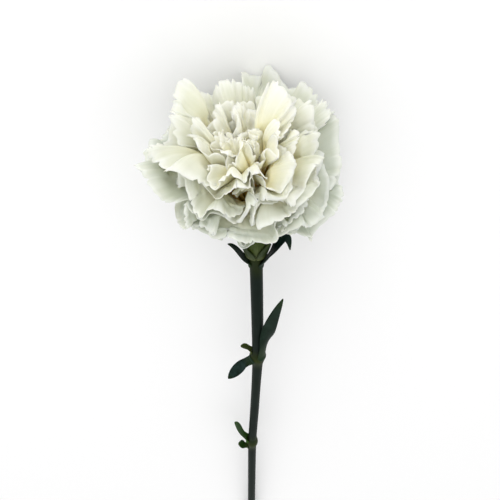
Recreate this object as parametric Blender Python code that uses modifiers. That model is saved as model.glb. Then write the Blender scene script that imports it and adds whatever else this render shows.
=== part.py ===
"""A cut carnation lying on a table: a double head of petals in a toothed calyx, on a stem with leafy joints.

The flower is modelled upright, with its calyx foot at the origin, +Z up the stem, +X to the right and
+Y to the back of the head. An empty then lays it down on z = 0 with its back petals underneath.
"""

import math
from collections import namedtuple

import bmesh
import bpy
import numpy as np
from mathutils import Matrix, Vector

MM = 0.001

# Driving dimensions, in millimetres and degrees.
STEM_RADIUS = 2.4
STEM_TOP_EXTRA = 0.22
STEM_TAPER = 0.32
STEM_LENGTH = 258.0
STEM_SIDES = 12
UPPER_JOINT = -68.0
LOWER_JOINT = -150.0
JOINT_SWELLING = 0.9
JOINT_HALF_LENGTH = 3.6
SEAT_RADIUS = 1.4  # the stem's end inside the calyx
SEAT_HEIGHT = 5.2

CALYX_HEIGHT = 28.0
CALYX_FOOT_RADIUS = 3.25
CALYX_MOUTH_RADIUS = 7.3
CALYX_WALL = 0.5
CALYX_TEETH = 5
TOOTH_LENGTH = 4.2
TOOTH_FLARE = 0.6  # outward lean of the teeth, per unit of height

GAP = 0.3
PETAL_THICKNESS = 0.28
LEAF_THICKNESS = 0.6
SCALE_LENGTHS = (8.0, 10.0)  # outer and inner pair
SCALE_HALF_ANGLE = 40.0

CLAW_ROWS = 3
LIMB_ROWS = 5
CLAW_SHARE = 0.40  # half a claw's angle, in pitches of its turn
LIMB_SHARE = 0.62  # half a limb's angle at its margin
MARGIN_ROUNDING = 0.13  # how much shorter a petal is at its sides
PINWHEEL_TILT = 1.3  # how far a guard petal's one edge stands above its neighbour
TILT_LOSS = 0.12  # how much less of it each turn inwards has
TANGENT_STEP = 0.02  # how far ahead a surface looks for its direction
WAVE_SHARE = 0.02  # height of a margin's waves, in margin radii
STRAY = 0.09  # how far petals stand from their even places, in pitches

HEAD_LEAN = 0.236  # rise of the head's back over its front, per unit of depth
HEAD_SHIFT = (-3.0, 2.0)  # the head's middle lies beside the stem's line
BACK_RIM_HEIGHT = 53.0
LYING_TILT = math.radians(5.8)
PRESS_DEPTH = 18.0  # how high above the table the petals still give way
PRESS_HOLLOW = 0.5  # the middle of the pressed side stays this much off the table
CONTACT_HALF_WIDTH = 17.0

# Turns of petals, outside in. rim and the two handles shape the limb as (radius, height) over the calyx foot.
Turn = namedtuple("Turn", "name count first_azimuth foot rim first_handle second_handle columns")
TURNS = (
    Turn("guard_petal", 8, 8.0, 3.0, (36.8, 38.0), (6.9, 36.5), (22.0, 43.0), 5),
    Turn("outer_petal", 8, 30.0, 3.5, (35.5, 46.5), (6.2, 38.5), (17.5, 48.5), 5),
    Turn("mantle_petal", 7, 12.0, 4.2, (31.0, 52.0), (5.6, 40.0), (13.5, 52.0), 5),
    Turn("middle_petal", 7, 38.0, 5.8, (25.0, 55.5), (4.7, 41.5), (9.6, 54.0), 4),
    Turn("inner_petal", 6, 5.0, 9.2, (18.5, 57.5), (4.0, 42.5), (6.2, 54.0), 4),
    Turn("heart_petal", 5, 40.0, 12.4, (12.0, 57.8), (3.3, 43.5), (3.9, 53.0), 4),
    Turn("centre_petal", 4, 20.0, 14.8, (5.8, 56.8), (2.8, 44.0), (2.4, 51.5), 4),
)

# Leaves: height of the base, direction round the stem, the blade's two handles and tip as (out, up) from
# the base, width, half the angle that clasps the stem, depth of the channel and bluntness of the outline.
Leaf = namedtuple("Leaf", "name base side first_handle second_handle tip width clasp channel blunt twist")
LEAVES = (
    Leaf("bract_leaf_right", -4.0, -22, (4.5, 5.5), (8.6, 26.5), (10.6, 11.0), 5.8, 50, 0.25, 1.3, -42),
    Leaf("bract_leaf_left", -4.0, 180, (3.5, 1.5), (4.5, 8.0), (8.0, 9.5), 4.5, 50, 0.25, 1.4, 0),
    Leaf("upper_leaf_right", UPPER_JOINT + 3, -30, (0.7, 12), (3.2, 26), (8.0, 45), 6.8, 62, 0.2, 1.5, 60),
    Leaf("upper_leaf_left", UPPER_JOINT - 1.5, 190, (3.3, -2), (6.0, -8), (10.8, -13.5), 5.4, 55, 0.15, 2.8, 50),
    Leaf("upper_leaf_tip", UPPER_JOINT + 4.5, 172, (1.5, 1.5), (3.0, 2.8), (5.0, 2.0), 3.0, 35, 0.30, 2.8, 0),
    Leaf("lower_stub_upper", LOWER_JOINT + 3, 176, (2.6, 4), (4.6, 10), (6.6, 16.5), 5.4, 55, 0.25, 3.6, 0),
    Leaf("lower_stub_lower", LOWER_JOINT - 4, 190, (2.0, 0.5), (3, 2), (5.0, 3.5), 4.6, 40, 0.25, 3.2, 20),
)

# The stem's middle line as (height, sideways): it changes direction slightly at each joint.
STEM_LINE = (
    (-STEM_LENGTH, -1.3),
    (-230.0, -1.3),
    (LOWER_JOINT, -1.1),
    (-118.0, 0.0),
    (UPPER_JOINT, 1.4),
    (-30.0, 0.7),
    (0.0, 0.0),
)

# Ovary and style as (height, radius).
PISTIL = (
    (5.6, 0.8),
    (7.0, 1.4),
    (10.5, 1.6),
    (14.5, 1.2),
    (18.0, 0.6),
    (24.0, 0.4),
    (31.0, 0.4),
    (38.0, 0.3),
)

GUARD_COLOUR = np.array((0.76, 0.80, 0.74))
CENTRE_COLOUR = np.array((0.88, 0.82, 0.62))
STEM_COLOUR = (0.030, 0.055, 0.050)
CALYX_COLOUR = (0.110, 0.160, 0.040)
LEAF_COLOUR = (0.020, 0.060, 0.025)
PISTIL_COLOUR = (0.450, 0.520, 0.250)


def smooth(value, low, high):
    """0 below low, 1 above high, and a smooth step between them."""
    share = np.clip((value - low) / (high - low), 0.0, 1.0)
    return share * share * (3.0 - 2.0 * share)


def bezier(start, first, second, end, t):
    """Point on a cubic curve through start and end."""
    weights = ((1 - t) ** 3, 3 * t * (1 - t) ** 2, 3 * t * t * (1 - t), t**3)
    return sum(w * np.array(p, float) for w, p in zip(weights, (start, first, second, end)))


def calyx_outside(height):
    """Outer radius of the calyx tube, which flares into its teeth above the mouth."""
    share = np.clip(1.0 - height / CALYX_HEIGHT, 0.0, 1.0)
    flare = TOOTH_FLARE * max(height - CALYX_HEIGHT, 0.0)
    return CALYX_FOOT_RADIUS + (CALYX_MOUTH_RADIUS - CALYX_FOOT_RADIUS) * (1.0 - share**2.2) + flare


def claw_radius(turn, height):
    """Radius of a claw's middle surface: the turns stand one inside the other in the tube."""
    step = PETAL_THICKNESS + GAP
    return calyx_outside(height) - CALYX_WALL - GAP - PETAL_THICKNESS / 2 - step * turn


def petal_profile(turn, azimuth, along):
    """(radius, height) of a turn's surface. along is -1 at the claw's foot, 0 at the mouth and 1 at the rim."""
    shape = TURNS[turn]
    if along < 0:
        level = CALYX_HEIGHT + (CALYX_HEIGHT - shape.foot) * along
        return np.array((claw_radius(turn, level), level))
    radius = shape.rim[0] * (1.0 + 0.025 * math.sin(2 * azimuth + 1.3 * turn))
    height = shape.rim[1] + 0.7 * math.sin(3 * azimuth + 2.1 * turn)
    start = (claw_radius(turn, CALYX_HEIGHT), CALYX_HEIGHT)
    return bezier(start, shape.first_handle, shape.second_handle, (radius, height), along)


def pressed(x, y, z):
    """Pushes the back of the head up off the table, most at its lowest and less and less above that."""
    down = np.array((-math.cos(LYING_TILT), math.sin(LYING_TILT)))
    table = -math.sin(LYING_TILT) * STEM_LENGTH - math.cos(LYING_TILT) * STEM_RADIUS
    rim = TURNS[0].rim[0]
    side = min(abs(x - HEAD_SHIFT[0]), rim)
    lowest = down @ (HEAD_SHIFT[1] + math.sqrt(rim**2 - side**2), BACK_RIM_HEIGHT)
    hollow = PRESS_HOLLOW * max(0.0, 1.0 - (x / CONTACT_HALF_WIDTH) ** 2)
    above = max(down @ (y, z) - lowest, 0.0)
    rise = max(table + hollow - lowest, 0.0) * math.exp(-above / PRESS_DEPTH) * smooth(z, 12.0, 38.0)
    return np.array((x, y + rise * down[0], z + rise * down[1]))


def settle_head(point):
    """Leans the head towards its front, moves it off the stem's line and presses its back on the table."""
    x, y, z = point
    shift = smooth(z, 15.0, 45.0)
    raised = z + HEAD_LEAN * smooth(z, 8.0, 45.0) * y
    return pressed(x + HEAD_SHIFT[0] * shift, y + HEAD_SHIFT[1] * shift, raised)


def petal_point(turn, number, across, along):
    """Point of a petal's middle surface. across runs from -1 to 1 over its width."""
    shape = TURNS[turn]
    pitch = 2 * math.pi / shape.count
    spread = smooth(along, 0.1 + 0.03 * turn, 0.8 + 0.02 * turn)
    twist = smooth(along, 0.03 * turn, 0.45 + 0.06 * turn)
    share = CLAW_SHARE + (LIMB_SHARE - CLAW_SHARE) * spread
    if along > 0:
        along = along * (1.0 - MARGIN_ROUNDING * across**2 * spread)
    stray = STRAY * math.sin(2.4 * number + turn) * spread
    azimuth = math.radians(shape.first_azimuth) + (number + stray + across * share) * pitch
    here = petal_profile(turn, azimuth, along)
    ahead = petal_profile(turn, azimuth, along + TANGENT_STEP)
    rise = (ahead - here) / np.linalg.norm(ahead - here)
    normal = np.array((-rise[1], rise[0]))
    tilt = (PINWHEEL_TILT - TILT_LOSS * turn) * across * twist
    height_of_waves = WAVE_SHARE * shape.rim[0] * smooth(along, 0.4, 1.0)
    waves = height_of_waves * math.sin(1.5 * shape.count * azimuth + turn)
    radius, height = here + normal * (tilt + waves)
    return settle_head((radius * math.cos(azimuth), radius * math.sin(azimuth), height))


def add_material(obj, colour):
    material = bpy.data.materials.new(obj.name)
    material.use_nodes = True
    shader = material.node_tree.nodes["Principled BSDF"]
    shader.inputs["Base Color"].default_value = (*colour, 1.0)
    shader.inputs["Roughness"].default_value = 0.6
    shader.inputs["Metallic"].default_value = 0.0
    obj.data.materials.append(material)


def add_object(name, data, colour):
    obj = bpy.data.objects.new(name, data)
    bpy.data.collections["cut_carnation"].objects.link(obj)
    obj.parent = bpy.data.objects["lying_pose"]
    add_material(obj, colour)


def add_sheet(name, columns, rows, place, thickness, colour, wrap=False):
    """A grid moved onto place(across, down) and given its thickness. A wrapped grid is closed into a tube."""
    bm = bmesh.new()
    bmesh.ops.create_grid(bm, x_segments=columns, y_segments=rows, size=1.0)
    for vert in bm.verts:
        vert.co = Vector(place(vert.co.x, vert.co.y)) * MM
    if wrap:
        bmesh.ops.remove_doubles(bm, verts=bm.verts, dist=0.01 * MM)
    mesh = bpy.data.meshes.new(name)
    bm.to_mesh(mesh)
    bm.free()
    mesh.shade_smooth()
    add_object(name, mesh, colour)
    wall = bpy.data.objects[name].modifiers.new("thickness", "SOLIDIFY")
    wall.thickness = thickness * MM
    wall.offset = 0.0


def add_tube(name, points, radius, sides, colour):
    """A capped tube through points of (x, y, z, radius)."""
    curve = bpy.data.curves.new(name, "CURVE")
    curve.dimensions = "3D"
    curve.bevel_depth = radius * MM
    curve.bevel_resolution = sides // 2 - 2
    curve.use_fill_caps = True
    spline = curve.splines.new("POLY")
    spline.points.add(len(points) - 1)
    spline.use_smooth = True
    for point, (x, y, z, local_radius) in zip(spline.points, points):
        point.co = (x * MM, y * MM, z * MM, 1.0)
        point.radius = local_radius / radius
    add_object(name, curve, colour)


def add_petals():
    rows = CLAW_ROWS + LIMB_ROWS
    for turn, shape in enumerate(TURNS):
        share = turn / (len(TURNS) - 1)
        colour = tuple(GUARD_COLOUR + (CENTRE_COLOUR - GUARD_COLOUR) * share)
        for number in range(shape.count):

            def place(across, down, turn=turn, number=number):
                row = (down + 1.0) / 2.0 * rows
                along = row / CLAW_ROWS - 1.0 if row <= CLAW_ROWS else (row - CLAW_ROWS) / LIMB_ROWS
                return petal_point(turn, number, across, along)

            add_sheet(f"{shape.name}_{number + 1}", shape.columns, rows, place, PETAL_THICKNESS, colour)


def add_calyx():
    """A tube whose upper edge rises into teeth."""

    def place(across, down):
        azimuth = math.pi * across
        tooth = (0.5 + 0.5 * math.cos(CALYX_TEETH * azimuth)) ** 1.4
        height = (CALYX_HEIGHT + TOOTH_LENGTH * tooth) * (down + 1.0) / 2.0
        radius = calyx_outside(height) - CALYX_WALL / 2
        return settle_head((radius * math.cos(azimuth), radius * math.sin(azimuth), height))

    add_sheet("calyx", 30, 10, place, CALYX_WALL, CALYX_COLOUR, wrap=True)


def add_scales():
    """Four pointed scales round the calyx foot."""
    for number in range(4):
        length = SCALE_LENGTHS[number % 2]

        def place(across, down, number=number, length=length):
            along = (down + 1.0) / 2.0
            half_angle = SCALE_HALF_ANGLE * (1.0 - along**2.2) + 2.0
            azimuth = math.radians(45.0 + 90.0 * number + across * half_angle)
            height = 0.4 + length * along
            radius = calyx_outside(height) + GAP + LEAF_THICKNESS / 2 + 0.3 * along**3
            return settle_head((radius * math.cos(azimuth), radius * math.sin(azimuth), height))

        add_sheet(f"epicalyx_scale_{number + 1}", 4, 5, place, LEAF_THICKNESS, CALYX_COLOUR)


def add_pistil():
    """Ovary and style as one tapered piece on the end of the stem, bent with the head."""
    points = [(*settle_head((0.0, 0.0, height)), radius) for height, radius in PISTIL]
    add_tube("pistil", points, max(radius for _, radius in PISTIL), 10, PISTIL_COLOUR)


def stem_line(height):
    heights = [knot[0] for knot in STEM_LINE]
    return float(np.interp(height, heights, [knot[1] for knot in STEM_LINE]))


def stem_radius(height):
    """Radius of the stem: thinner below the upper joint, and swollen at both joints."""
    offsets = [(height - joint) / JOINT_HALF_LENGTH for joint in (UPPER_JOINT, LOWER_JOINT)]
    swelling = JOINT_SWELLING * sum(math.exp(-(offset**2)) for offset in offsets)
    return STEM_RADIUS + STEM_TOP_EXTRA - STEM_TAPER * smooth(-height, 55.0, 95.0) + swelling


def add_stem():
    """A tube that swells at its joints and narrows to the petals' seat inside the calyx."""
    heights = [-STEM_LENGTH, -232.0, -206.0, -180.0]
    for joint in (LOWER_JOINT, UPPER_JOINT):
        heights += [joint + offset for offset in (-12.0, -7.0, -4.5, -2.0, 0.0, 2.0, 4.5, 7.0, 12.0)]
        heights += [joint + 26.0, joint + 42.0]
    heights += [-12.0, 0.0, 1.4]
    points = [(stem_line(height), 0.0, height, stem_radius(height)) for height in heights]
    points += [(0.0, 0.0, 2.0, SEAT_RADIUS + 0.1), (0.0, 0.0, SEAT_HEIGHT, SEAT_RADIUS - 0.1)]
    add_tube("stem", points, STEM_RADIUS, STEM_SIDES, STEM_COLOUR)


def leaf_place(leaf):
    """Place of a leaf's points: it clasps the stem at its base, then leaves it and twists."""
    clasp = stem_radius(leaf.base) + GAP + LEAF_THICKNESS / 2 + 0.1
    turned = Matrix.Rotation(math.radians(leaf.side), 3, "Z")

    def place(across, down):
        along = (down + 1.0) / 2.0
        out, up = bezier((0.0, 0.0), leaf.first_handle, leaf.second_handle, leaf.tip, along)
        ahead = along + TANGENT_STEP
        next_out, next_up = bezier((0.0, 0.0), leaf.first_handle, leaf.second_handle, leaf.tip, ahead)
        length = math.hypot(next_out - out, next_up - up)
        free = smooth(along, 0.0, 0.4)
        twist = math.radians(leaf.twist) * smooth(along, 0.1, 0.6)
        outline = math.sin(math.pi * (0.5 + 0.5 * along) ** leaf.blunt) ** 0.7 if along < 1 else 0.0
        half = leaf.width / 2 * max(outline, 0.12)
        arc = math.radians(leaf.clasp) * across
        raised = (half * across * math.sin(twist) - leaf.channel * across**2 * half) * free
        bent = clasp * math.cos(arc) * (1 - free) + clasp * free + raised * (next_up - up) / length
        width = clasp * math.sin(arc) * (1 - free) + half * across * math.cos(twist) * free
        x, y, _ = turned @ Vector((bent + out, width, 0.0))
        return (x + stem_line(leaf.base), y, leaf.base + up - raised * (next_out - out) / length)

    return place


def add_leaves():
    for leaf in LEAVES:
        add_sheet(leaf.name, 4, 8, leaf_place(leaf), LEAF_THICKNESS, LEAF_COLOUR)


def world_points(obj):
    evaluated = obj.evaluated_get(bpy.context.evaluated_depsgraph_get())
    return np.array([obj.matrix_world @ vert.co for vert in evaluated.to_mesh().vertices])


def lay_down():
    """Turns the flower onto its back petals and its cut end, then centres its box over the origin."""
    pose = bpy.data.objects["lying_pose"]
    nodes = bpy.data.collections["cut_carnation"].objects
    petals = [obj for obj in nodes if "petal" in obj.name]
    tilt = LYING_TILT
    for _ in range(6):
        up_stem = Vector((0.0, -math.cos(tilt), math.sin(tilt)))
        to_back = Vector((0.0, -math.sin(tilt), -math.cos(tilt)))
        pose.matrix_world = Matrix((Vector((-1.0, 0.0, 0.0)), to_back, up_stem)).transposed().to_4x4()
        bpy.context.view_layer.update()
        stem = world_points(nodes["stem"])
        head = np.vstack([world_points(obj) for obj in petals])
        low_stem = stem[stem[:, 2].argmin()]
        low_head = head[head[:, 2].argmin()]
        tilt += (low_stem[2] - low_head[2]) / (low_stem[1] - low_head[1])
    points = np.vstack([world_points(obj) for obj in nodes])
    low = points.min(axis=0)
    high = points.max(axis=0)
    pose.location = (-(low[0] + high[0]) / 2, -(low[1] + high[1]) / 2, -low[2])
    bpy.context.view_layer.update()


def clear_scene():
    for obj in list(bpy.data.objects):
        bpy.data.objects.remove(obj, do_unlink=True)


def main():
    clear_scene()
    bpy.context.scene.collection.children.link(bpy.data.collections.new("cut_carnation"))
    bpy.context.scene.collection.objects.link(bpy.data.objects.new("lying_pose", None))
    add_stem()
    add_calyx()
    add_scales()
    add_pistil()
    add_petals()
    add_leaves()
    lay_down()


main()
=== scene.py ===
"""Looks of the cut carnation: ruffled petals, calyx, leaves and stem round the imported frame."""

import math
from collections import namedtuple

import bmesh
import bpy
import numpy as np
from mathutils import Matrix, Vector


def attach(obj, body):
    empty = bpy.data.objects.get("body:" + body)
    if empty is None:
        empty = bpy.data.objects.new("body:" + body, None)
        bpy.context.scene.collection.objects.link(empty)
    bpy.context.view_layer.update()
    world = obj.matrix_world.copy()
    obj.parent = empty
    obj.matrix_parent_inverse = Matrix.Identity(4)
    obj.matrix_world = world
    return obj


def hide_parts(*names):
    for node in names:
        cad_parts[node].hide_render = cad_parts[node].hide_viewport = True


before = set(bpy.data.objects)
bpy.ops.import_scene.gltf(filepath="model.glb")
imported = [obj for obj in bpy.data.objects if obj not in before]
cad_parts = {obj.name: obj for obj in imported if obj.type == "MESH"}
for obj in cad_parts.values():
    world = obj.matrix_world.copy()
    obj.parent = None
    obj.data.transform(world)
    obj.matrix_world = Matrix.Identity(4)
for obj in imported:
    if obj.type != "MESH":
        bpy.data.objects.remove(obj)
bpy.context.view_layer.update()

MM = 0.001

# The flower's own frame: origin at the calyx foot, +Z up the stem, +X to the right, +Y to the head's back.
# Stem, in millimetres.
STEM_RADIUS = 2.4
STEM_TOP_EXTRA = 0.22
STEM_TAPER = 0.32
STEM_TAPER_SPAN = (55.0, 95.0)
STEM_LENGTH = 258.0
STEM_SIDES = 40
STEM_RING_STEP = 3.0
UPPER_JOINT = -68.0
LOWER_JOINT = -150.0
JOINTS = (UPPER_JOINT, LOWER_JOINT)
JOINT_SWELLING = 0.9
JOINT_HALF_LENGTH = 3.6
JOINT_RING_REACH = 9.0
JOINT_RING_STEP = 0.75
JOINT_GROOVE = (0.16, 4.2, 0.7)  # depth, height over the joint, half width
SEAT = ((1.0, 1.5), (4.0, 1.3))  # above each height, the petals' seat has this radius
SEAT_TOP = 5.2
CUT_BEVEL = 0.18

# Calyx, its scales and the pistil.
CALYX_HEIGHT = 28.0
CALYX_FOOT_RADIUS = 3.25
CALYX_MOUTH_RADIUS = 7.3
CALYX_WALL = 0.5
CALYX_TEETH = 5
CALYX_NERVES = 35
CALYX_NERVE_HEIGHT = 0.05
TOOTH_LENGTH = 4.2
TOOTH_FLARE = 0.6
SCALE_LENGTHS = (8.0, 10.0)
SCALE_HALF_ANGLE = 40.0
SCALE_FOOT = 0.4
SCALE_LIFT = 0.3
GAP = 0.3

# Leaves.
LEAF_CLEARANCE = 0.04
LEAF_WALL = 0.5
LEAF_FREE = 0.4
LEAF_TWISTS = (0.1, 0.6)
SHEATH_SHARE = 0.12
SHEATH_LENGTH = 2.4
TANGENT_STEP = 0.02

# Petals in the bud.
CLAW_THICKNESS = 0.28
CLAW_SHARE = 0.40
LIMB_SHARE = 0.62
LIMB_OPENS = (0.1, 0.8)
LIMB_OPENS_LATER = (0.03, 0.02)
TWIST_PER_TURN = (0.03, 0.06)
TWIST_END = 0.45
RIM_OVAL = 0.025
RIM_RISE = 0.7
RIM_PHASES = (1.3, 2.1)
BUD_WAVE = 0.02
BUD_WAVE_COUNT = 1.5
MARGIN_ROUNDING = 0.13
PINWHEEL_TILT = 1.3
TILT_LOSS = 0.12
STRAY = 0.09
STRAY_STEP = 2.4

# The head leans and shifts on its neck between these heights, and is pressed where it lies.
HEAD_LEAN = 0.236
HEAD_SHIFT = (-3.0, 2.0)
NECK_SHIFTS = (15.0, 45.0)
NECK_LEANS = (8.0, 45.0)
NECK_PRESSES = (12.0, 38.0)
BACK_RIM_HEIGHT = 53.0
LYING_TILT = math.radians(5.8)
PRESS_DEPTH = 18.0
PRESS_HOLLOW = 0.5
CONTACT_HALF_WIDTH = 17.0

# Where that frame lies on the table.
REST_TILT = math.radians(6.0855)
REST_PLACE = (-2.583, -96.674, 29.638)

Turn = namedtuple("Turn", "name count first_azimuth foot rim first_handle second_handle teeth")
TURNS = (
    Turn("guard_petal", 8, 8.0, 3.0, (36.8, 38.0), (6.9, 36.5), (22.0, 43.0), 26),
    Turn("outer_petal", 8, 30.0, 3.5, (35.5, 46.5), (6.2, 38.5), (17.5, 48.5), 26),
    Turn("mantle_petal", 7, 12.0, 4.2, (31.0, 52.0), (5.6, 40.0), (13.5, 52.0), 25),
    Turn("middle_petal", 7, 38.0, 5.8, (25.0, 55.5), (4.7, 41.5), (9.6, 54.0), 22),
    Turn("inner_petal", 6, 5.0, 9.2, (18.5, 57.5), (4.0, 42.5), (6.2, 54.0), 19),
    Turn("heart_petal", 5, 40.0, 12.4, (12.0, 57.8), (3.3, 43.5), (3.9, 53.0), 16),
    Turn("centre_petal", 4, 20.0, 14.8, (5.8, 56.8), (2.8, 44.0), (2.4, 51.5), 14),
)

# How far each turn grows and folds as it unfolds.
SEED = 6400
LIMB_GROWTH = (0.30, 0.30, 0.30, 0.32, 0.36, 0.42, 0.46)
LENGTH_CHANGE = (-0.22, 0.0)
FRONT_SHORTENING = (0.24, 0.19, 0.13, 0.08, 0.03, 0.0, 0.0)
CORNER_GROWTH = (0.05, 0.05, 0.05, 0.04, 0.0, 0.0, 0.0)
LIFT = 5.0
INWARD = (0.0, 1.0, 1.0, 1.5, 3.0, 5.5, 5.0)
FOLDS = ((1.3, 0.9), (3.1, 0.75), (5.5, 0.36))
FOLD_SIZE = (0.5, 0.5, 0.5, 0.5, 0.55, 0.65, 0.65)
FOLD_SPEEDS = (0.8, 1.2)
FOLD_STRENGTHS = (0.7, 1.3)
FOLD_SLANT = 0.9
FOLD_SWAY = 0.3
FOLD_BY_RIM = 0.6

# The coarse grids that unfold together, and how they are held.
CONTROL_COLUMNS = (21, 21, 21, 19, 17, 15, 13)
CONTROL_LIMB_ROWS = (21, 20, 20, 19, 17, 15, 14)
CONTROL_CLAW_ROWS = 3
CLAW_HELD = 0.06
HOLD = 0.1
HOLD_ENDS = 0.75
CLOTH_SCALE = 15.0
CLOTH_FRAMES = 24
GROWN_FRAME = 16
TABLE_REACH = 4.0
TISSUE = {
    "quality": 4,
    "mass": 0.2,
    "air_damping": 4.0,
    "bending_model": "ANGULAR",
    "tension_stiffness": 20.0,
    "compression_stiffness": 20.0,
    "shear_stiffness": 8.0,
    "bending_stiffness": 0.5,
    "tension_damping": 10.0,
    "compression_damping": 10.0,
    "shear_damping": 10.0,
    "bending_damping": 0.5,
    "vertex_group_mass": "claws",
    "pin_stiffness": 1.0,
    "use_dynamic_mesh": True,
}
TOUCH = {
    "use_collision": True,
    "distance_min": 0.0002 * CLOTH_SCALE,
    "use_self_collision": True,
    "self_distance_min": 0.0003 * CLOTH_SCALE,
    "self_friction": 2.0,
    "collision_quality": 2,
}

# The fine petals.
PETAL_WALL = 0.26
THIN_MARGIN = 0.45
LIMB_ROWS = 30
LIMB_ROW_CROWDING = 0.85
CLAW_FINE_ROWS = 6
TABLE_CLEARANCE = 0.14
CORNER_ROUNDING = (0.14, 7)
TOOTH_DEPTH = 1.4
TOOTH_WIDTHS = (0.6, 1.4)
TOOTH_CUTS = (0.15, 1.0)
TOOTH_LEANS = (0.35, 0.65)
TOOTH_HOLLOW = 0.35
CRINKLE_SEED = 1000
CRINKLES = ((7.0, 0.40, 0.5), (13.0, 0.26, 0.6), (25.0, 0.10, 0.5))
CRINKLE_SPOTS = 9
CRINKLE_STRENGTHS = (0.3, 1.3)
CRINKLE_SLANT = 1.2
FULL_TEETH = 26

# Petal colours as (outer turn, inner turn), from the claw to the edge: darker and greyer outward as painted
# shade, brighter inward as painted light on the petals' own cream.
# The deep ochre at the claw is partly the petals' own yellow base and partly painted warm shade of the deep
# folds.
DEEP_OCHRE = (0.56, 0.35, 0.05)
THROAT = ((0.64, 0.50, 0.21), (0.90, 0.62, 0.17))
LIMB = ((0.52, 0.54, 0.42), (0.95, 0.87, 0.57))
MARGIN = ((0.50, 0.54, 0.47), (0.96, 0.94, 0.76))
# The edge is lighter than the margin: a painted highlight along the rims, on the petals' own white.
LIT_EDGE = ((0.74, 0.77, 0.70), (0.98, 0.97, 0.84))

# Greens as (dark, bright, bloom).
LEAF_GREENS = ((0.004, 0.014, 0.007), (0.013, 0.032, 0.007), (0.011, 0.028, 0.018))
OWN_GREENS = {
    "bract_leaf_right": ((0.004, 0.013, 0.009), (0.009, 0.022, 0.010), (0.012, 0.028, 0.024)),
    "upper_leaf_left": ((0.004, 0.013, 0.008), (0.012, 0.026, 0.008), (0.028, 0.058, 0.054)),
    "lower_stub_upper": ((0.018, 0.058, 0.006), (0.030, 0.080, 0.008), (0.030, 0.075, 0.025)),
    "lower_stub_lower": ((0.014, 0.042, 0.006), (0.036, 0.064, 0.012), (0.030, 0.062, 0.028)),
    "upper_leaf_tip": ((0.030, 0.045, 0.008), (0.050, 0.065, 0.012), (0.040, 0.060, 0.030)),
}
CALYX_GREENS = ((0.040, 0.060, 0.010), (0.080, 0.105, 0.020), (0.090, 0.115, 0.050))
SCALE_GREENS = ((0.022, 0.036, 0.008), (0.060, 0.075, 0.018), (0.060, 0.080, 0.035))
STEM_SKIN = (0.004, 0.009, 0.006)
STEM_OLIVE = (0.026, 0.036, 0.005)
STEM_BLOOM = (0.010, 0.018, 0.014)

# Studio and camera.
FLOOR_REACH = 3.0
FLOOR_SHADE = (0.95, 0.95, 0.95, 1.0)
KEY_SIZE = 0.5
KEY_ENERGY = 1.15
KEY_PLACE = (0.12, -0.72, 0.36)
KEY_AIM = (0.0, -0.13, 0.03)
VIEW_TILT = math.radians(45)
VIEW_DISTANCE = 232.0
VIEW_OFFSET = (-2.3, 1.5)

Leaf = namedtuple("Leaf", "name base side first_handle second_handle tip width clasp channel blunt twist")
LEAVES = (
    Leaf("bract_leaf_right", -4.0, -22, (4.5, 5.5), (8.6, 26.5), (10.6, 11.0), 5.8, 50, 0.25, 1.3, -42),
    Leaf("bract_leaf_left", -4.0, 180, (3.5, 1.5), (4.5, 8.0), (8.0, 9.5), 4.5, 50, 0.25, 1.4, 0),
    Leaf("upper_leaf_right", UPPER_JOINT + 3, -30, (0.7, 12), (3.2, 26), (8.0, 45), 6.8, 62, 0.2, 1.5, 60),
    Leaf("upper_leaf_left", UPPER_JOINT - 1.5, 190, (3.3, -2), (6, -8), (10.8, -13.5), 5.4, 55, 0.15, 2.8, 50),
    Leaf("upper_leaf_tip", UPPER_JOINT + 4.5, 172, (1.5, 1.5), (3.0, 2.8), (5.0, 2.0), 3.0, 35, 0.30, 2.8, 0),
    Leaf("lower_stub_upper", LOWER_JOINT + 3, 176, (2.6, 4), (4.6, 10), (6.6, 16.5), 5.4, 55, 0.25, 3.6, 0),
    Leaf("lower_stub_lower", LOWER_JOINT - 4, 190, (2.0, 0.5), (3, 2), (5.0, 3.5), 4.6, 40, 0.25, 3.2, 20),
)

# The stem's slight bends, as (height, sideways) in order of height.
STEM_LINE = (
    (-258.0, -1.3),
    (-230.0, -1.3),
    (LOWER_JOINT, -1.1),
    (-118.0, 0.0),
    (UPPER_JOINT, 1.4),
    (-30.0, 0.7),
    (0.0, 0.0),
)
PISTIL = (
    (5.6, 0.8),
    (7.0, 1.4),
    (10.5, 1.6),
    (14.5, 1.2),
    (18.0, 0.6),
    (24.0, 0.4),
    (31.0, 0.4),
    (38.0, 0.3),
)


def smooth(value, low, high):
    share = np.clip((value - low) / (high - low), 0.0, 1.0)
    return share * share * (3.0 - 2.0 * share)


def bezier(first, second, third, last, t):
    t = t[..., None]
    return (1 - t) ** 3 * first + 3 * t * (1 - t) ** 2 * second + 3 * t * t * (1 - t) * third + t**3 * last


def calyx_outside(height):
    share = np.clip(1.0 - height / CALYX_HEIGHT, 0.0, 1.0)
    flare = TOOTH_FLARE * np.maximum(height - CALYX_HEIGHT, 0.0)
    return CALYX_FOOT_RADIUS + (CALYX_MOUTH_RADIUS - CALYX_FOOT_RADIUS) * (1.0 - share**2.2) + flare


def claw_radius(turn, height):
    step = CLAW_THICKNESS + GAP
    return calyx_outside(height) - CALYX_WALL - GAP - CLAW_THICKNESS / 2 - step * turn


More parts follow.
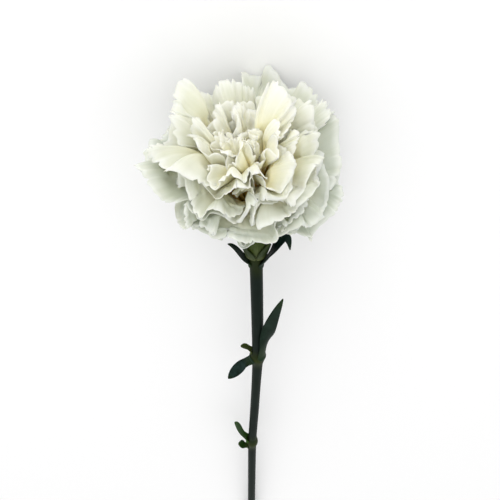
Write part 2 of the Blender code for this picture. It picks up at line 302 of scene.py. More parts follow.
def petal_profile(turn, azimuth, along):
    """(radius, height) of a turn's surface, for arrays of azimuth and along."""
    shape = TURNS[turn]
    level = CALYX_HEIGHT + (CALYX_HEIGHT - shape.foot) * np.minimum(along, 0.0)
    claw = np.stack((claw_radius(turn, level), level), axis=-1)
    radius = shape.rim[0] * (1.0 + RIM_OVAL * np.sin(2 * azimuth + RIM_PHASES[0] * turn))
    height = shape.rim[1] + RIM_RISE * np.sin(3 * azimuth + RIM_PHASES[1] * turn)
    mouth = np.array((claw_radius(turn, CALYX_HEIGHT), CALYX_HEIGHT))
    first = np.array(shape.first_handle)
    second = np.array(shape.second_handle)
    limb = bezier(mouth, first, second, np.stack((radius, height), axis=-1), np.clip(along, 0.0, None))
    return np.where(along[..., None] < 0, claw, limb)


def settle_head(points):
    """Leans the head, moves it off the stem's line and presses its back on the table."""
    x, y, z = points[..., 0], points[..., 1], points[..., 2]
    shift = smooth(z, *NECK_SHIFTS)
    z = z + HEAD_LEAN * smooth(z, *NECK_LEANS) * y
    x = x + HEAD_SHIFT[0] * shift
    y = y + HEAD_SHIFT[1] * shift
    down_y = -math.cos(LYING_TILT)
    down_z = math.sin(LYING_TILT)
    table = -math.sin(LYING_TILT) * STEM_LENGTH - math.cos(LYING_TILT) * STEM_RADIUS
    rim = TURNS[0].rim[0]
    side = np.minimum(np.abs(x - HEAD_SHIFT[0]), rim)
    lowest = down_y * (HEAD_SHIFT[1] + np.sqrt(rim**2 - side**2)) + down_z * BACK_RIM_HEIGHT
    hollow = PRESS_HOLLOW * np.maximum(0.0, 1.0 - (x / CONTACT_HALF_WIDTH) ** 2)
    above = np.maximum(down_y * y + down_z * z - lowest, 0.0)
    rise = np.maximum(table + hollow - lowest, 0.0) * np.exp(-above / PRESS_DEPTH) * smooth(z, *NECK_PRESSES)
    return np.stack((x, y + rise * down_y, z + rise * down_z), axis=-1)


def around_head(radius, azimuth, height):
    """Points round the flower's axis, moved with the head."""
    return settle_head(np.stack((radius * np.cos(azimuth), radius * np.sin(azimuth), height), axis=-1))


def petal_surface(turn, number, across, along, growth):
    """A petal's middle surface: as it lies in the bud at growth 0, and as wide as it wants to be at 1."""
    shape = TURNS[turn]
    rng = np.random.default_rng(SEED + 100 * turn + number)
    pitch = 2 * math.pi / shape.count
    opens = [first + later * turn for first, later in zip(LIMB_OPENS, LIMB_OPENS_LATER)]
    spread = smooth(along, *opens)
    twist = smooth(along, TWIST_PER_TURN[0] * turn, TWIST_END + TWIST_PER_TURN[1] * turn)
    share = CLAW_SHARE + (LIMB_SHARE + LIMB_GROWTH[turn] * growth - CLAW_SHARE) * spread
    stray = STRAY * math.sin(STRAY_STEP * number + turn) * spread
    margin = smooth(along, 0.2, 1.0)
    size = growth * FOLD_SIZE[turn] * shape.rim[0] ** FOLD_BY_RIM
    fold = 0.0
    sway = 0.0
    for count, weight in FOLDS:
        phase = rng.uniform(0, 2 * math.pi)
        speed = math.pi * count * rng.uniform(*FOLD_SPEEDS)
        angle = speed * across + phase + FOLD_SLANT * along
        fold = fold + weight * rng.uniform(*FOLD_STRENGTHS) * np.sin(angle)
        sway = sway - FOLD_SWAY * growth * weight / speed * np.sin(2 * angle)
    lift = growth * (rng.uniform(-LIFT, LIFT) + INWARD[turn]) * np.maximum(along, 0.0) ** 2
    along = along * (1.0 - MARGIN_ROUNDING * across**2 * spread)
    facing = math.radians(shape.first_azimuth) + number * pitch
    front = FRONT_SHORTENING[turn] * max(-math.sin(facing), 0.0)
    corner = CORNER_GROWTH[turn] * max(math.sin(facing), 0.0) * abs(math.cos(facing)) * 2.0
    along = along * (1.0 + growth * (rng.uniform(*LENGTH_CHANGE) - front + corner) * margin)
    azimuth = math.radians(shape.first_azimuth) + (number + stray + (across + margin * sway) * share) * pitch
    here = petal_profile(turn, azimuth, along)
    ahead = petal_profile(turn, azimuth, along + TANGENT_STEP)
    rise = ahead - here
    rise /= np.linalg.norm(rise, axis=-1, keepdims=True)
    normal = np.stack((-rise[..., 1], rise[..., 0]), axis=-1)
    ripples = np.sin(BUD_WAVE_COUNT * shape.count * azimuth + turn)
    waves = BUD_WAVE * shape.rim[0] * smooth(along, 0.4, 1.0) * ripples
    offset = (PINWHEEL_TILT - TILT_LOSS * turn) * across * twist + size * margin * fold + waves + lift
    profile = here + normal * offset[..., None]
    return around_head(profile[..., 0], azimuth, profile[..., 1])


def control_axes(turn):
    """Across and along places of the coarse grid that unfolds."""
    across = np.linspace(-1.0, 1.0, CONTROL_COLUMNS[turn])
    claw = np.linspace(-1.0, 0.0, CONTROL_CLAW_ROWS + 1)[:-1]
    limb = np.linspace(0.0, 1.0, CONTROL_LIMB_ROWS[turn])
    return np.meshgrid(across, np.concatenate((claw, limb)))


def unfold(petals):
    """Lets all the petals grow from the bud towards their full width at once, kept apart by contact."""
    bm = bmesh.new()
    places_in_grid = []
    targets = []
    holds = []
    for turn, number in petals:
        across, along = control_axes(turn)
        rows, columns = across.shape
        grid = bmesh.ops.create_grid(bm, x_segments=columns - 1, y_segments=rows - 1, size=1.0)["verts"]
        start = to_table(petal_surface(turn, number, across, along, 0.0)) * CLOTH_SCALE
        target = to_table(petal_surface(turn, number, across, along, 1.0)) * CLOTH_SCALE
        hold = np.where(along < CLAW_HELD, 1.0, HOLD * (1.0 - smooth(along, 0.0, HOLD_ENDS)))
        for vert in grid:
            column = round((vert.co.x + 1) / 2 * (columns - 1))
            row = round((vert.co.y + 1) / 2 * (rows - 1))
            vert.co = start[row, column]
            targets.append(target[row, column])
            holds.append(hold[row, column])
            places_in_grid.append((row, column))
    mesh = bpy.data.meshes.new("unfolding")
    bm.to_mesh(mesh)
    bm.free()
    limbs = bpy.data.objects.new("unfolding", mesh)
    bpy.context.scene.collection.objects.link(limbs)
    limbs.shape_key_add(name="bud")
    grown = limbs.shape_key_add(name="grown")
    grown.data.foreach_set("co", np.array(targets).ravel())
    claws = limbs.vertex_groups.new(name="claws")
    for index, hold in enumerate(holds):
        claws.add([index], float(hold), "REPLACE")
    cloth = limbs.modifiers.new("growing", "CLOTH")
    for name, value in TISSUE.items():
        setattr(cloth.settings, name, value)
    cloth.settings.effector_weights.gravity = 0.0
    for name, value in TOUCH.items():
        setattr(cloth.collision_settings, name, value)
    table_mesh = bpy.data.meshes.new("unfolding_table")
    bm = bmesh.new()
    bmesh.ops.create_grid(bm, x_segments=4, y_segments=4, size=TABLE_REACH)
    bm.to_mesh(table_mesh)
    bm.free()
    table = bpy.data.objects.new("unfolding_table", table_mesh)
    bpy.context.scene.collection.objects.link(table)
    table.modifiers.new("contact", "COLLISION")
    table.collision.thickness_outer = 0.001
    scene = bpy.context.scene
    scene.frame_start = 1
    scene.frame_end = CLOTH_FRAMES
    cloth.point_cache.frame_start = 1
    cloth.point_cache.frame_end = CLOTH_FRAMES
    for value, frame_number in ((0.0, 1), (1.0, GROWN_FRAME)):
        grown.value = value
        grown.keyframe_insert("value", frame=frame_number)
    for frame_number in range(1, CLOTH_FRAMES + 1):
        scene.frame_set(frame_number)
    settled = limbs.evaluated_get(bpy.context.evaluated_depsgraph_get()).data
    places = np.empty(len(settled.vertices) * 3, np.float32)
    settled.vertices.foreach_get("co", places)
    places = places.reshape(-1, 3).astype(float) / CLOTH_SCALE
    grids = {}
    settled_points = zip(places, places_in_grid)
    for turn, number in petals:
        shape = control_axes(turn)[0].shape
        grid = np.zeros(shape + (3,))
        for _ in range(shape[0] * shape[1]):
            place, (row, column) = next(settled_points)
            grid[row, column] = place
        grids[turn, number] = grid
    for growth_keys in list(bpy.data.actions):
        bpy.data.actions.remove(growth_keys)
    for helper, helper_mesh in ((limbs, mesh), (table, table_mesh)):
        bpy.data.objects.remove(helper)
        bpy.data.meshes.remove(helper_mesh)
    scene.frame_set(1)
    return grids


def curve_weights(count, places):
    """The four of count even samples round each place in 0..1, and a smooth curve's weights for them."""
    spot = np.clip(places, 0.0, 1.0) * (count - 1)
    first = np.clip(np.floor(spot).astype(int), 0, count - 2)
    t = spot - first
    near = np.stack((first - 1, first, first + 1, first + 2), axis=-1)
    weights = np.stack(
        (
            (-t + 2 * t**2 - t**3) / 2,
            (2 - 5 * t**2 + 3 * t**3) / 2,
            (t + 4 * t**2 - 3 * t**3) / 2,
            (-(t**2) + t**3) / 2,
        ),
        axis=-1,
    )
    return np.clip(near, 0, count - 1), weights


def resampled(samples, places):
    """Samples along their first axis at new places in 0..1."""
    near, weights = curve_weights(len(samples), places)
    extra = (1,) * (samples.ndim - 1)
    return sum(weights[:, k].reshape((-1,) + extra) * samples[near[:, k]] for k in range(4))


def toothed_margin(rng, teeth):
    """Columns across a petal, and how deep the margin is cut at each, with four columns to a tooth."""
    widths = rng.uniform(*TOOTH_WIDTHS, teeth)
    notches = np.concatenate(([0.0], np.cumsum(widths))) / widths.sum() * 2.0 - 1.0
    columns = []
    cuts = []
    for left, right in zip(notches[:-1], notches[1:]):
        depth = rng.uniform(*TOOTH_CUTS) ** 1.5
        lean = rng.uniform(*TOOTH_LEANS)
        columns += [left, left + (right - left) * lean * 0.5, left + (right - left) * lean]
        columns += [right - (right - left) * (1 - lean) * 0.5]
        cuts += [depth, depth * TOOTH_HOLLOW, 0.0, depth * TOOTH_HOLLOW]
    return np.array(columns + [1.0]), np.array(cuts + [0.5])


def grid_normals(points):
    down = np.gradient(points, axis=0)
    over = np.gradient(points, axis=1)
    normal = np.cross(over, down)
    return normal / np.maximum(np.linalg.norm(normal, axis=-1, keepdims=True), 1e-12)


def petal_points(turn, number, control):
    """Rows and columns of a petal's points from the claw's foot to the toothed margin."""
    shape = TURNS[turn]
    rng = np.random.default_rng(CRINKLE_SEED + 100 * turn + number)
    columns, cuts = toothed_margin(rng, shape.teeth)
    length = 14.0 + 0.6 * shape.rim[0]
    rounding, sharpness = CORNER_ROUNDING
    end = 1.0 - rounding * np.abs(columns) ** sharpness - TOOTH_DEPTH * cuts / length
    sideways = resampled(control.transpose(1, 0, 2), (columns + 1) / 2).transpose(1, 0, 2)
    rows = CONTROL_CLAW_ROWS + CONTROL_LIMB_ROWS[turn]
    throat = CONTROL_CLAW_ROWS / (rows - 1)
    claw = np.linspace(0.0, throat, CLAW_FINE_ROWS + 1)[:-1]
    share = np.linspace(0.0, 1.0, LIMB_ROWS + 1) ** LIMB_ROW_CROWDING
    limb = throat + (1.0 - throat) * share
    pull = smooth(share, 0.5, 1.0)
    points = np.empty((CLAW_FINE_ROWS + LIMB_ROWS + 1, len(columns), 3))
    for column in range(len(columns)):
        reach = limb * (1.0 - pull * (1.0 - throat) * (1.0 - end[column]))
        points[:, column] = resampled(sideways[:, column], np.concatenate((claw, reach)))
    depth = np.concatenate((np.zeros(CLAW_FINE_ROWS), share))
    crinkle = 0.0
    for count, size, begin in CRINKLES:
        phase = rng.uniform(0, 2 * math.pi)
        spots = np.linspace(-1, 1, CRINKLE_SPOTS)
        strength = np.interp(columns, spots, rng.uniform(*CRINKLE_STRENGTHS, CRINKLE_SPOTS))
        across = math.pi * count * shape.teeth / FULL_TEETH * columns[None, :]
        wave = np.sin(across + phase + CRINKLE_SLANT * depth[:, None])
        crinkle = crinkle + size * strength * wave * smooth(depth, begin, 1.0)[:, None]
    points = points + grid_normals(points) * crinkle[..., None] * MM
    points[..., 2] = np.maximum(points[..., 2], TABLE_CLEARANCE * MM)
    return points, np.concatenate((np.linspace(0, 0.5, CLAW_FINE_ROWS + 1)[:-1], 0.5 + share / 2))


def to_table(points):
    """From the flower's own frame in millimetres to the table in metres."""
    tilt = REST_TILT
    turned = np.stack(
        (
            -points[..., 0],
            -math.sin(tilt) * points[..., 1] - math.cos(tilt) * points[..., 2],
            -math.cos(tilt) * points[..., 1] + math.sin(tilt) * points[..., 2],
        ),
        axis=-1,
    )
    return (turned + np.array(REST_PLACE)) * MM


def add_piece(node, bm, materials, wall=0.0, levels=0, fullness=None):
    """Puts a mesh in place of a CAD node, riding on the root body. fullness thins the wall point by point."""
    mesh = bpy.data.meshes.new("fresh_" + node)
    bm.to_mesh(mesh)
    bm.free()
    mesh.shade_smooth()
    piece = bpy.data.objects.new("fresh_" + node, mesh)
    bpy.context.scene.collection.objects.link(piece)
    for material in materials:
        mesh.materials.append(material)
    if wall:
        thickness = piece.modifiers.new("thickness", "SOLIDIFY")
        thickness.thickness = wall * MM
        thickness.offset = 0.0
        if fullness is not None:
            body = piece.vertex_groups.new(name="fullness")
            for vert, share in enumerate(fullness):
                body.add([vert], float(share), "REPLACE")
            thickness.vertex_group = "fullness"
            thickness.thickness_vertex_group = THIN_MARGIN
    if levels:
        finer = piece.modifiers.new("finer", "SUBSURF")
        finer.levels = levels
        finer.render_levels = levels
    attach(piece, "root")
    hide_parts(node)
    return piece


def grid_mesh(placed, lengthwise, wrap=False):
    """A grid of quads laid over rows and columns of points; its map runs across and along the piece."""
    rows, columns = placed.shape[:2]
    bm = bmesh.new()
    bmesh.ops.create_grid(bm, x_segments=columns - 1, y_segments=rows - 1, size=1.0, calc_uvs=False)
    chart = bm.loops.layers.uv.new("chart")
    for vert in bm.verts:
        column = round((vert.co.x + 1) / 2 * (columns - 1))
        row = round((vert.co.y + 1) / 2 * (rows - 1))
        vert.index = row * columns + column
    for face in bm.faces:
        for loop in face.loops:
            row, column = divmod(loop.vert.index, columns)
            loop[chart].uv = (column / (columns - 1), lengthwise[row])
    for vert in bm.verts:
        row, column = divmod(vert.index, columns)
        vert.co = placed[row, column]
    if wrap:
        bmesh.ops.remove_doubles(bm, verts=bm.verts, dist=0.002 * MM)
    bmesh.ops.recalc_face_normals(bm, faces=bm.faces)
    return bm


def new_material(name, roughness, specular=0.5):
    """A Principled material with the socket values that are the same all over."""
    material = bpy.data.materials.new(name)
    material.use_nodes = True
    shader = material.node_tree.nodes["Principled BSDF"]
    shader.inputs["Roughness"].default_value = roughness
    shader.inputs["Specular IOR Level"].default_value = specular
    return material, material.node_tree, shader


def ramp_node(tree, stops, mode="EASE"):
    node = tree.nodes.new("ShaderNodeValToRGB")
    node.color_ramp.interpolation = mode
    ramp = node.color_ramp.elements
    while len(ramp) < len(stops):
        ramp.new(1.0)
    for element, (place, colour) in zip(ramp, stops):
        element.position = place
        element.color = (*colour, 1.0)
    return node


def scaled_map(tree, scale):
    """The piece's own map, stretched."""
    chart = tree.nodes.new("ShaderNodeUVMap")
    chart.uv_map = "chart"
    stretch = tree.nodes.new("ShaderNodeMapping")
    stretch.inputs["Scale"].default_value = scale
    tree.links.new(chart.outputs["UV"], stretch.inputs["Vector"])
    return stretch


def noise_on(tree, vector, scale, detail):
    noise = tree.nodes.new("ShaderNodeTexNoise")
    noise.inputs["Scale"].default_value = scale
    noise.inputs["Detail"].default_value = detail
    tree.links.new(vector, noise.inputs["Vector"])
    return noise


def mixed(tree, mode, factor, first, second):
    node = tree.nodes.new("ShaderNodeMix")
    node.data_type = "RGBA"
    node.blend_type = mode
    for socket, value in ((node.inputs[0], factor), (node.inputs[6], first), (node.inputs[7], second)):
        if isinstance(value, bpy.types.NodeSocket):
            tree.links.new(value, socket)
        elif isinstance(value, tuple):
            socket.default_value = (*value, 1.0)
        else:
            socket.default_value = value
    return node.outputs[2]


# Blends a petal colour between the painted-shade outer turn and the painted-light inner turn.
def blend_colour(shaded_outer, lit_inner, share):
    return tuple(c + (w - c) * share for c, w in zip(shaded_outer, lit_inner))


def petal_material(name, throat, limb, margin, edge):
    """Ochre at the claw, partly the petal base's own yellow and partly painted warm shade of the deep folds,
    through cream, to the turn's own white at the margin and a painted highlight along the rim, with fine
    veins.
    """
    material, tree, shader = new_material(name, 0.6, 0.2)
    # The ochre stop is partly painted warm shade in the deep folds; the last stop is a painted highlight along
    # the rim.
    stops = ((0.50, DEEP_OCHRE), (0.61, throat), (0.78, limb), (0.95, margin), (1.0, edge))
    body = ramp_node(tree, stops)
    tree.links.new(lengthwise_place(tree), body.inputs[0])
    veins = noise_on(tree, scaled_map(tree, (38.0, 1.6, 1.0)).outputs["Vector"], 1.0, 3.0)
    vein_shades = ramp_node(tree, ((0.3, (0.90, 0.91, 0.86)), (0.62, (1.0, 1.0, 1.0))), "LINEAR")
    tree.links.new(veins.outputs[0], vein_shades.inputs[0])
    colour = mixed(tree, "MULTIPLY", 0.75, body.outputs[0], vein_shades.outputs[0])
    tree.links.new(colour, shader.inputs["Base Color"])
    add_relief(tree, shader, veins.outputs[0], 0.25, 0.15)
    shader.inputs["Subsurface Weight"].default_value = 0.8
    shader.inputs["Subsurface Radius"].default_value = (1.0, 0.95, 0.85)
    shader.inputs["Subsurface Scale"].default_value = 0.45 * MM
    return material


def add_petals():
    petals = [(turn, number) for turn, shape in enumerate(TURNS) for number in range(shape.count)]
    grids = unfold(petals)
    for turn, shape in enumerate(TURNS):
        # Share of the inner turn's colours: painted shade on the outer turns, painted light on the petals' own
        # cream towards the centre.
        lit_inner = min(max(turn - 0.5, 0.0) / 4.5, 1.0)
        shades = [blend_colour(shaded_outer, lit_inner_colour, lit_inner) for shaded_outer, lit_inner_colour in (THROAT, LIMB, MARGIN, LIT_EDGE)]
        material = petal_material(shape.name + "_tissue", *shades)
        for number in range(shape.count):
            points, down = petal_points(turn, number, grids[turn, number])
            bm = grid_mesh(points, down)
            columns = points.shape[1]
            fullness = [1.0 - float(smooth(down[vert.index // columns], 0.8, 1.0)) for vert in bm.verts]
            name = f"{shape.name}_{number + 1}"
            add_piece(name, bm, [material], wall=PETAL_WALL, fullness=fullness)


def stem_radius(height):
    height = np.asarray(height, float)
    radius = STEM_RADIUS + STEM_TOP_EXTRA - STEM_TAPER * smooth(-height, *STEM_TAPER_SPAN)
    for joint in JOINTS:
        radius = radius + JOINT_SWELLING * np.exp(-(((height - joint) / JOINT_HALF_LENGTH) ** 2))
    return radius


def stem_line(height):
    """The stem's sideways place, rounded at its joints."""
    heights, sideways = zip(*STEM_LINE)
    steps = np.linspace(-6.0, 6.0, 9)
    spread = np.asarray(height, float)[..., None] + steps
    return np.interp(spread, heights, sideways).mean(axis=-1)


def ringed_tube(points, lengthwise):
    """A tube of rings whose first and last columns meet."""
    return grid_mesh(to_table(points), lengthwise, wrap=True)


def close_ends(bm, insets, lift):
    """Caps both ends, each inset into rings; the cut face lies a little in from the skin."""
    rims = [edge for edge in bm.edges if edge.is_boundary]
    caps = bmesh.ops.holes_fill(bm, edges=rims, sides=0)["faces"]
    for cap in caps:
        cap.material_index = 1
        for depth, drop in zip(insets, lift):
            bmesh.ops.inset_region(bm, faces=[cap], thickness=depth * MM, depth=drop * MM)
    bmesh.ops.recalc_face_normals(bm, faces=bm.faces)


def rings(heights, radii, sideways, sides, ripple=0.0):
    around = np.linspace(0.0, 2 * math.pi, sides + 1)
    radius = radii[:, None] * (1.0 + ripple * np.sin(9 * around + 0.6)[None, :])
    x = sideways[:, None] + radius * np.cos(around)
    y = radius * np.sin(around)
    return np.stack((x, y, np.broadcast_to(heights[:, None], x.shape)), axis=-1)


def speckled(name, roughness, size, dark, light):
    """A material whose colour runs between two shades in fine speckles."""
    material, tree, shader = new_material(name, roughness)
    spot = tree.nodes.new("ShaderNodeTexCoord")
    speckle = noise_on(tree, spot.outputs["Object"], size, 2.0)
    shades = ramp_node(tree, ((0.3, dark), (0.7, light)), "LINEAR")
    tree.links.new(speckle.outputs[0], shades.inputs[0])
    tree.links.new(shades.outputs[0], shader.inputs["Base Color"])
    return material


def add_relief(tree, shader, height, strength, distance):
    """A fine bump from a node's output; distance is in millimetres."""
    relief = tree.nodes.new("ShaderNodeBump")
    relief.inputs["Strength"].default_value = strength
    relief.inputs["Distance"].default_value = distance * MM
    tree.links.new(height, relief.inputs["Height"])
    tree.links.new(relief.outputs[0], shader.inputs["Normal"])


def lengthwise_place(tree):
    """How far along the piece's own map a point lies, from 0 to 1."""
    chart = scaled_map(tree, (1.0, 1.0, 1.0))
    parts = tree.nodes.new("ShaderNodeSeparateXYZ")
    tree.links.new(chart.outputs["Vector"], parts.inputs[0])
    return parts.outputs["Y"]


def stem_material():
    """Near-black green, olive at the joints and the top, with a thin bloom in patches."""
    material, tree, shader = new_material("stem_skin", 0.5, 0.05)
    spot = tree.nodes.new("ShaderNodeTexCoord")
    whole = STEM_LENGTH + SEAT_TOP
    upper = 1.0 - (SEAT_TOP - UPPER_JOINT) / whole
    lower = 1.0 - (SEAT_TOP - LOWER_JOINT) / whole
    stops = (
        (lower - 0.03, STEM_SKIN),
        (lower, STEM_OLIVE),
        (lower + 0.035, STEM_SKIN),
        (upper - 0.03, STEM_SKIN),
        (upper, STEM_OLIVE),
        (upper + 0.03, STEM_SKIN),
        (0.93, STEM_SKIN),
        (0.985, STEM_OLIVE),
    )
    length_colour = ramp_node(tree, stops, "LINEAR")
    tree.links.new(lengthwise_place(tree), length_colour.inputs[0])
    bloom = noise_on(tree, spot.outputs["Object"], 160.0, 4.0)
    bloom_share = ramp_node(tree, ((0.35, (0.0, 0.0, 0.0)), (0.75, (0.45, 0.45, 0.45))), "LINEAR")
    tree.links.new(bloom.outputs[0], bloom_share.inputs[0])
    colour = mixed(tree, "MIX", bloom_share.outputs[0], length_colour.outputs[0], STEM_BLOOM)
    tree.links.new(colour, shader.inputs["Base Color"])
    grain = noise_on(tree, scaled_map(tree, (60.0, 12.0, 1.0)).outputs["Vector"], 1.0, 3.0)
    add_relief(tree, shader, grain.outputs[0], 0.3, 0.1)
    return material


def add_stem():
    cut = speckled("stem_cut", 0.7, 1800.0, (0.20, 0.26, 0.09), (0.42, 0.45, 0.22))
    steps = np.arange(-JOINT_RING_REACH, JOINT_RING_REACH + 0.1, JOINT_RING_STEP)
    plain = np.arange(-STEM_LENGTH + 4.0, -4.0, STEM_RING_STEP)
    near = [joint + step for joint in JOINTS for step in steps]
    ends = (-STEM_LENGTH, -STEM_LENGTH + 0.25, -3.0, 0.0, 2.0, SEAT_TOP)
    heights = np.unique(np.concatenate((plain, near, ends)))
    heights = heights[np.concatenate(([True], np.diff(heights) > 0.2))]
    radii = stem_radius(heights)
    radii = np.where(heights < -STEM_LENGTH + 0.1, radii - CUT_BEVEL, radii)
    for above, seat_radius in SEAT:
        radii = np.where(heights > above, seat_radius, radii)
    depth, over, half_width = JOINT_GROOVE
    for joint in JOINTS:
        radii = radii - depth * np.exp(-(((heights - joint - over) / half_width) ** 2))
    tube = rings(heights, radii, stem_line(heights), STEM_SIDES)
    bm = ringed_tube(tube, (heights + STEM_LENGTH) / (STEM_LENGTH + SEAT_TOP))
    close_ends(bm, (0.35, 0.5, 0.6), (-0.06, 0.05, -0.08))
    add_piece("stem", bm, [stem_material(), cut])


def green_material(name, greens, ribs):
    """A leaf-like skin: a dark to bright run along the piece, pale bloom in patches and fine ribs."""
    dark, bright, bloom = greens
    material, tree, shader = new_material(name, 0.48, 0.06)
    run = ramp_node(tree, ((0.05, bright), (0.35, dark), (0.8, dark), (1.0, bright)))
    tree.links.new(lengthwise_place(tree), run.inputs[0])
    lines = noise_on(tree, scaled_map(tree, (ribs, 1.2, 1.0)).outputs["Vector"], 1.0, 2.0)
    spot = tree.nodes.new("ShaderNodeTexCoord")
    patches = noise_on(tree, spot.outputs["Object"], 220.0, 4.0)
    share = ramp_node(tree, ((0.42, (0, 0, 0)), (0.72, (0.7, 0.7, 0.7))), "LINEAR")
    tree.links.new(patches.outputs[0], share.inputs[0])
    colour = mixed(tree, "MIX", share.outputs[0], run.outputs[0], bloom)
    line_shades = ramp_node(tree, ((0.35, (0.72, 0.75, 0.70)), (0.6, (1.0, 1.0, 1.0))), "LINEAR")
    tree.links.new(lines.outputs[0], line_shades.inputs[0])
    colour = mixed(tree, "MULTIPLY", 0.8, colour, line_shades.outputs[0])
    tree.links.new(colour, shader.inputs["Base Color"])
    add_relief(tree, shader, lines.outputs[0], 0.5, 0.12)
    return material


def add_calyx():
    down = np.linspace(0.0, 1.0, 41)
    azimuth = math.pi * np.linspace(-1.0, 1.0, 121)[None, :]
    tooth = (0.5 + 0.5 * np.cos(CALYX_TEETH * azimuth)) ** 1.4
    height = (CALYX_HEIGHT + TOOTH_LENGTH * tooth) * down[:, None]
    nerve = CALYX_NERVE_HEIGHT * np.cos(CALYX_NERVES * azimuth) * smooth(height, 2.0, 8.0)
    radius = calyx_outside(height) - CALYX_WALL / 2 + nerve
    bm = ringed_tube(around_head(radius, azimuth, height), down)
    add_piece("calyx", bm, [green_material("calyx_skin", CALYX_GREENS, 70.0)], wall=0.45)


def add_scales():
    skin = green_material("scale_skin", SCALE_GREENS, 24.0)
    across, along = np.meshgrid(np.linspace(-1.0, 1.0, 17), np.linspace(0.0, 1.0, 21))
    half_angle = SCALE_HALF_ANGLE * (1.0 - along**2.2) + 2.0 * (1.0 - along) + 0.35
    for number in range(4):
        azimuth = np.radians(45.0 + 90.0 * number + across * half_angle)
        height = SCALE_FOOT + SCALE_LENGTHS[number % 2] * along
        radius = calyx_outside(height) + GAP + SCALE_LIFT + SCALE_LIFT * along**3
        bm = grid_mesh(to_table(around_head(radius, azimuth, height)), along[:, 0])
        add_piece(f"epicalyx_scale_{number + 1}", bm, [skin], wall=0.5)


def add_pistil():
    flesh = speckled("pistil_flesh", 0.55, 500.0, (0.34, 0.42, 0.12), (0.55, 0.60, 0.30))
    heights, radii = np.array(PISTIL).T
    fine = np.linspace(heights[0], heights[-1], 40)
    straight = np.zeros(len(fine))
    axis = np.stack((straight, straight, fine), axis=-1)
    points = rings(fine, np.interp(fine, heights, radii), straight, 16)
    points = points + (settle_head(axis) - axis)[:, None, :]
    bm = ringed_tube(points, (fine - fine[0]) / (fine[-1] - fine[0]))
    close_ends(bm, (0.08,), (0.05,))
    add_piece("pistil", bm, [flesh, flesh])


def leaf_points(leaf, across, down):
    """Points of a leaf's middle surface: a short sheath on the stem below 0, then the blade, which twists."""
    along = np.maximum(down, 0.0)
    sheath = np.maximum(-down, 0.0) / SHEATH_SHARE
    drop = -math.copysign(SHEATH_LENGTH, leaf.first_handle[1]) * sheath
    clasp = stem_radius(leaf.base + drop) + LEAF_WALL / 2 + LEAF_CLEARANCE
    bends = (np.zeros(2), np.array(leaf.first_handle), np.array(leaf.second_handle), np.array(leaf.tip))
    path = bezier(*bends, along)
    tangent = bezier(*bends, along + TANGENT_STEP) - path
    tangent /= np.linalg.norm(tangent, axis=-1, keepdims=True)
    free = smooth(along, 0.0, LEAF_FREE)
    twist = math.radians(leaf.twist) * smooth(along, *LEAF_TWISTS)
    outline = np.sin(math.pi * (0.5 + 0.5 * along) ** leaf.blunt) ** 0.7
    half = leaf.width / 2 * np.maximum(outline, 0.12 * (1.0 - smooth(along, 0.9, 1.0)) + 0.03)
    arc = np.radians(leaf.clasp) * across * (1.0 - 0.4 * sheath**2)
    raised = (half * across * np.sin(twist) - leaf.channel * across**2 * half) * free
    bent = clasp * np.cos(arc) * (1 - free) + clasp * free + raised * tangent[..., 1]
    width = clasp * np.sin(arc) * (1 - free) + half * across * np.cos(twist) * free
    out = bent + path[..., 0]
    side = math.radians(leaf.side)
    x = out * math.cos(side) - width * math.sin(side) + stem_line(leaf.base)
    y = out * math.sin(side) + width * math.cos(side)
    return np.stack((x, y, leaf.base + drop + path[..., 1] - raised * tangent[..., 0]), axis=-1)


def add_leaves():
    rows = np.concatenate((np.linspace(-SHEATH_SHARE, 0.0, 5)[:-1], np.linspace(0.0, 1.0, 33)))
    across, along = np.meshgrid(np.linspace(-1.0, 1.0, 13), rows)
    for leaf in LEAVES:
        skin = green_material(leaf.name + "_skin", OWN_GREENS.get(leaf.name, LEAF_GREENS), 16.0)
        bm = grid_mesh(to_table(leaf_points(leaf, across, along)), np.maximum(rows, 0.0))
        add_piece(leaf.name, bm, [skin], wall=LEAF_WALL, levels=1)


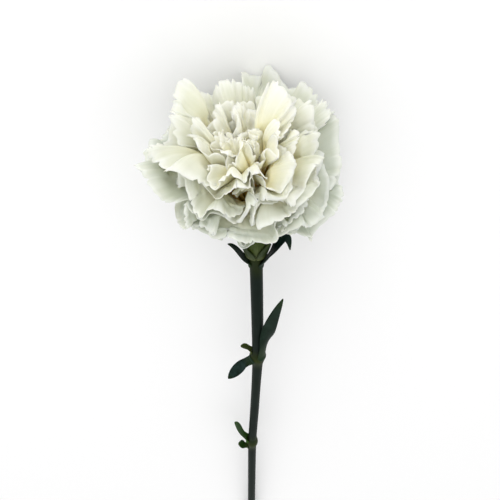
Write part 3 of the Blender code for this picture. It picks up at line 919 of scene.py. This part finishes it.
def add_studio():
    bm = bmesh.new()
    bmesh.ops.create_grid(bm, x_segments=1, y_segments=1, size=FLOOR_REACH)
    mesh = bpy.data.meshes.new("studio_floor")
    bm.to_mesh(mesh)
    bm.free()
    floor = bpy.data.objects.new("studio_floor", mesh)
    bpy.context.scene.collection.objects.link(floor)
    material, tree, shader = new_material("floor_white", 0.9, 0.0)
    shader.inputs["Base Color"].default_value = FLOOR_SHADE
    mesh.materials.append(material)
    world = bpy.data.worlds.new("studio_white")
    world.use_nodes = True
    sky = world.node_tree.nodes["Background"]
    sky.inputs["Color"].default_value = (1.0, 1.0, 1.0, 1.0)
    sky.inputs["Strength"].default_value = 1.0
    bpy.context.scene.world = world
    light = bpy.data.lights.new("soft_key", "AREA")
    light.shape = "DISK"
    light.size = KEY_SIZE
    light.energy = KEY_ENERGY
    key = bpy.data.objects.new("soft_key", light)
    key.location = Vector(KEY_PLACE)
    aim = Vector(KEY_AIM) - key.location
    key.rotation_euler = aim.to_track_quat("-Z", "Y").to_euler()
    bpy.context.scene.collection.objects.link(key)


def add_camera():
    """Looks at the head half from above and half from the front, as the flower faces it."""
    forward = np.array((0.0, math.cos(VIEW_TILT), -math.sin(VIEW_TILT)))
    up = np.array((0.0, math.sin(VIEW_TILT), math.cos(VIEW_TILT)))
    right = np.array((1.0, 0.0, 0.0))
    origin = to_table(np.zeros(3))
    eye = to_table(-VIEW_DISTANCE * forward + VIEW_OFFSET[0] * right + VIEW_OFFSET[1] * up)
    axes = []
    for axis in (right, up, -forward):
        axes.append(Vector((to_table(axis) - origin) / MM).normalized())
    lens = bpy.data.cameras.new("viewer")
    lens.sensor_width = 36.0
    lens.lens = 43.2
    lens.clip_start = 0.01
    viewer = bpy.data.objects.new("viewer", lens)
    turn = Matrix(axes).transposed().to_4x4()
    turn.translation = Vector(eye)
    viewer.matrix_world = turn
    bpy.context.scene.collection.objects.link(viewer)
    bpy.context.scene.camera = viewer


add_petals()
add_stem()
add_calyx()
add_scales()
add_pistil()
add_leaves()
add_studio()
add_camera()
bpy.context.scene.view_settings.view_transform = "Standard"

bpy.context.view_layer.update()
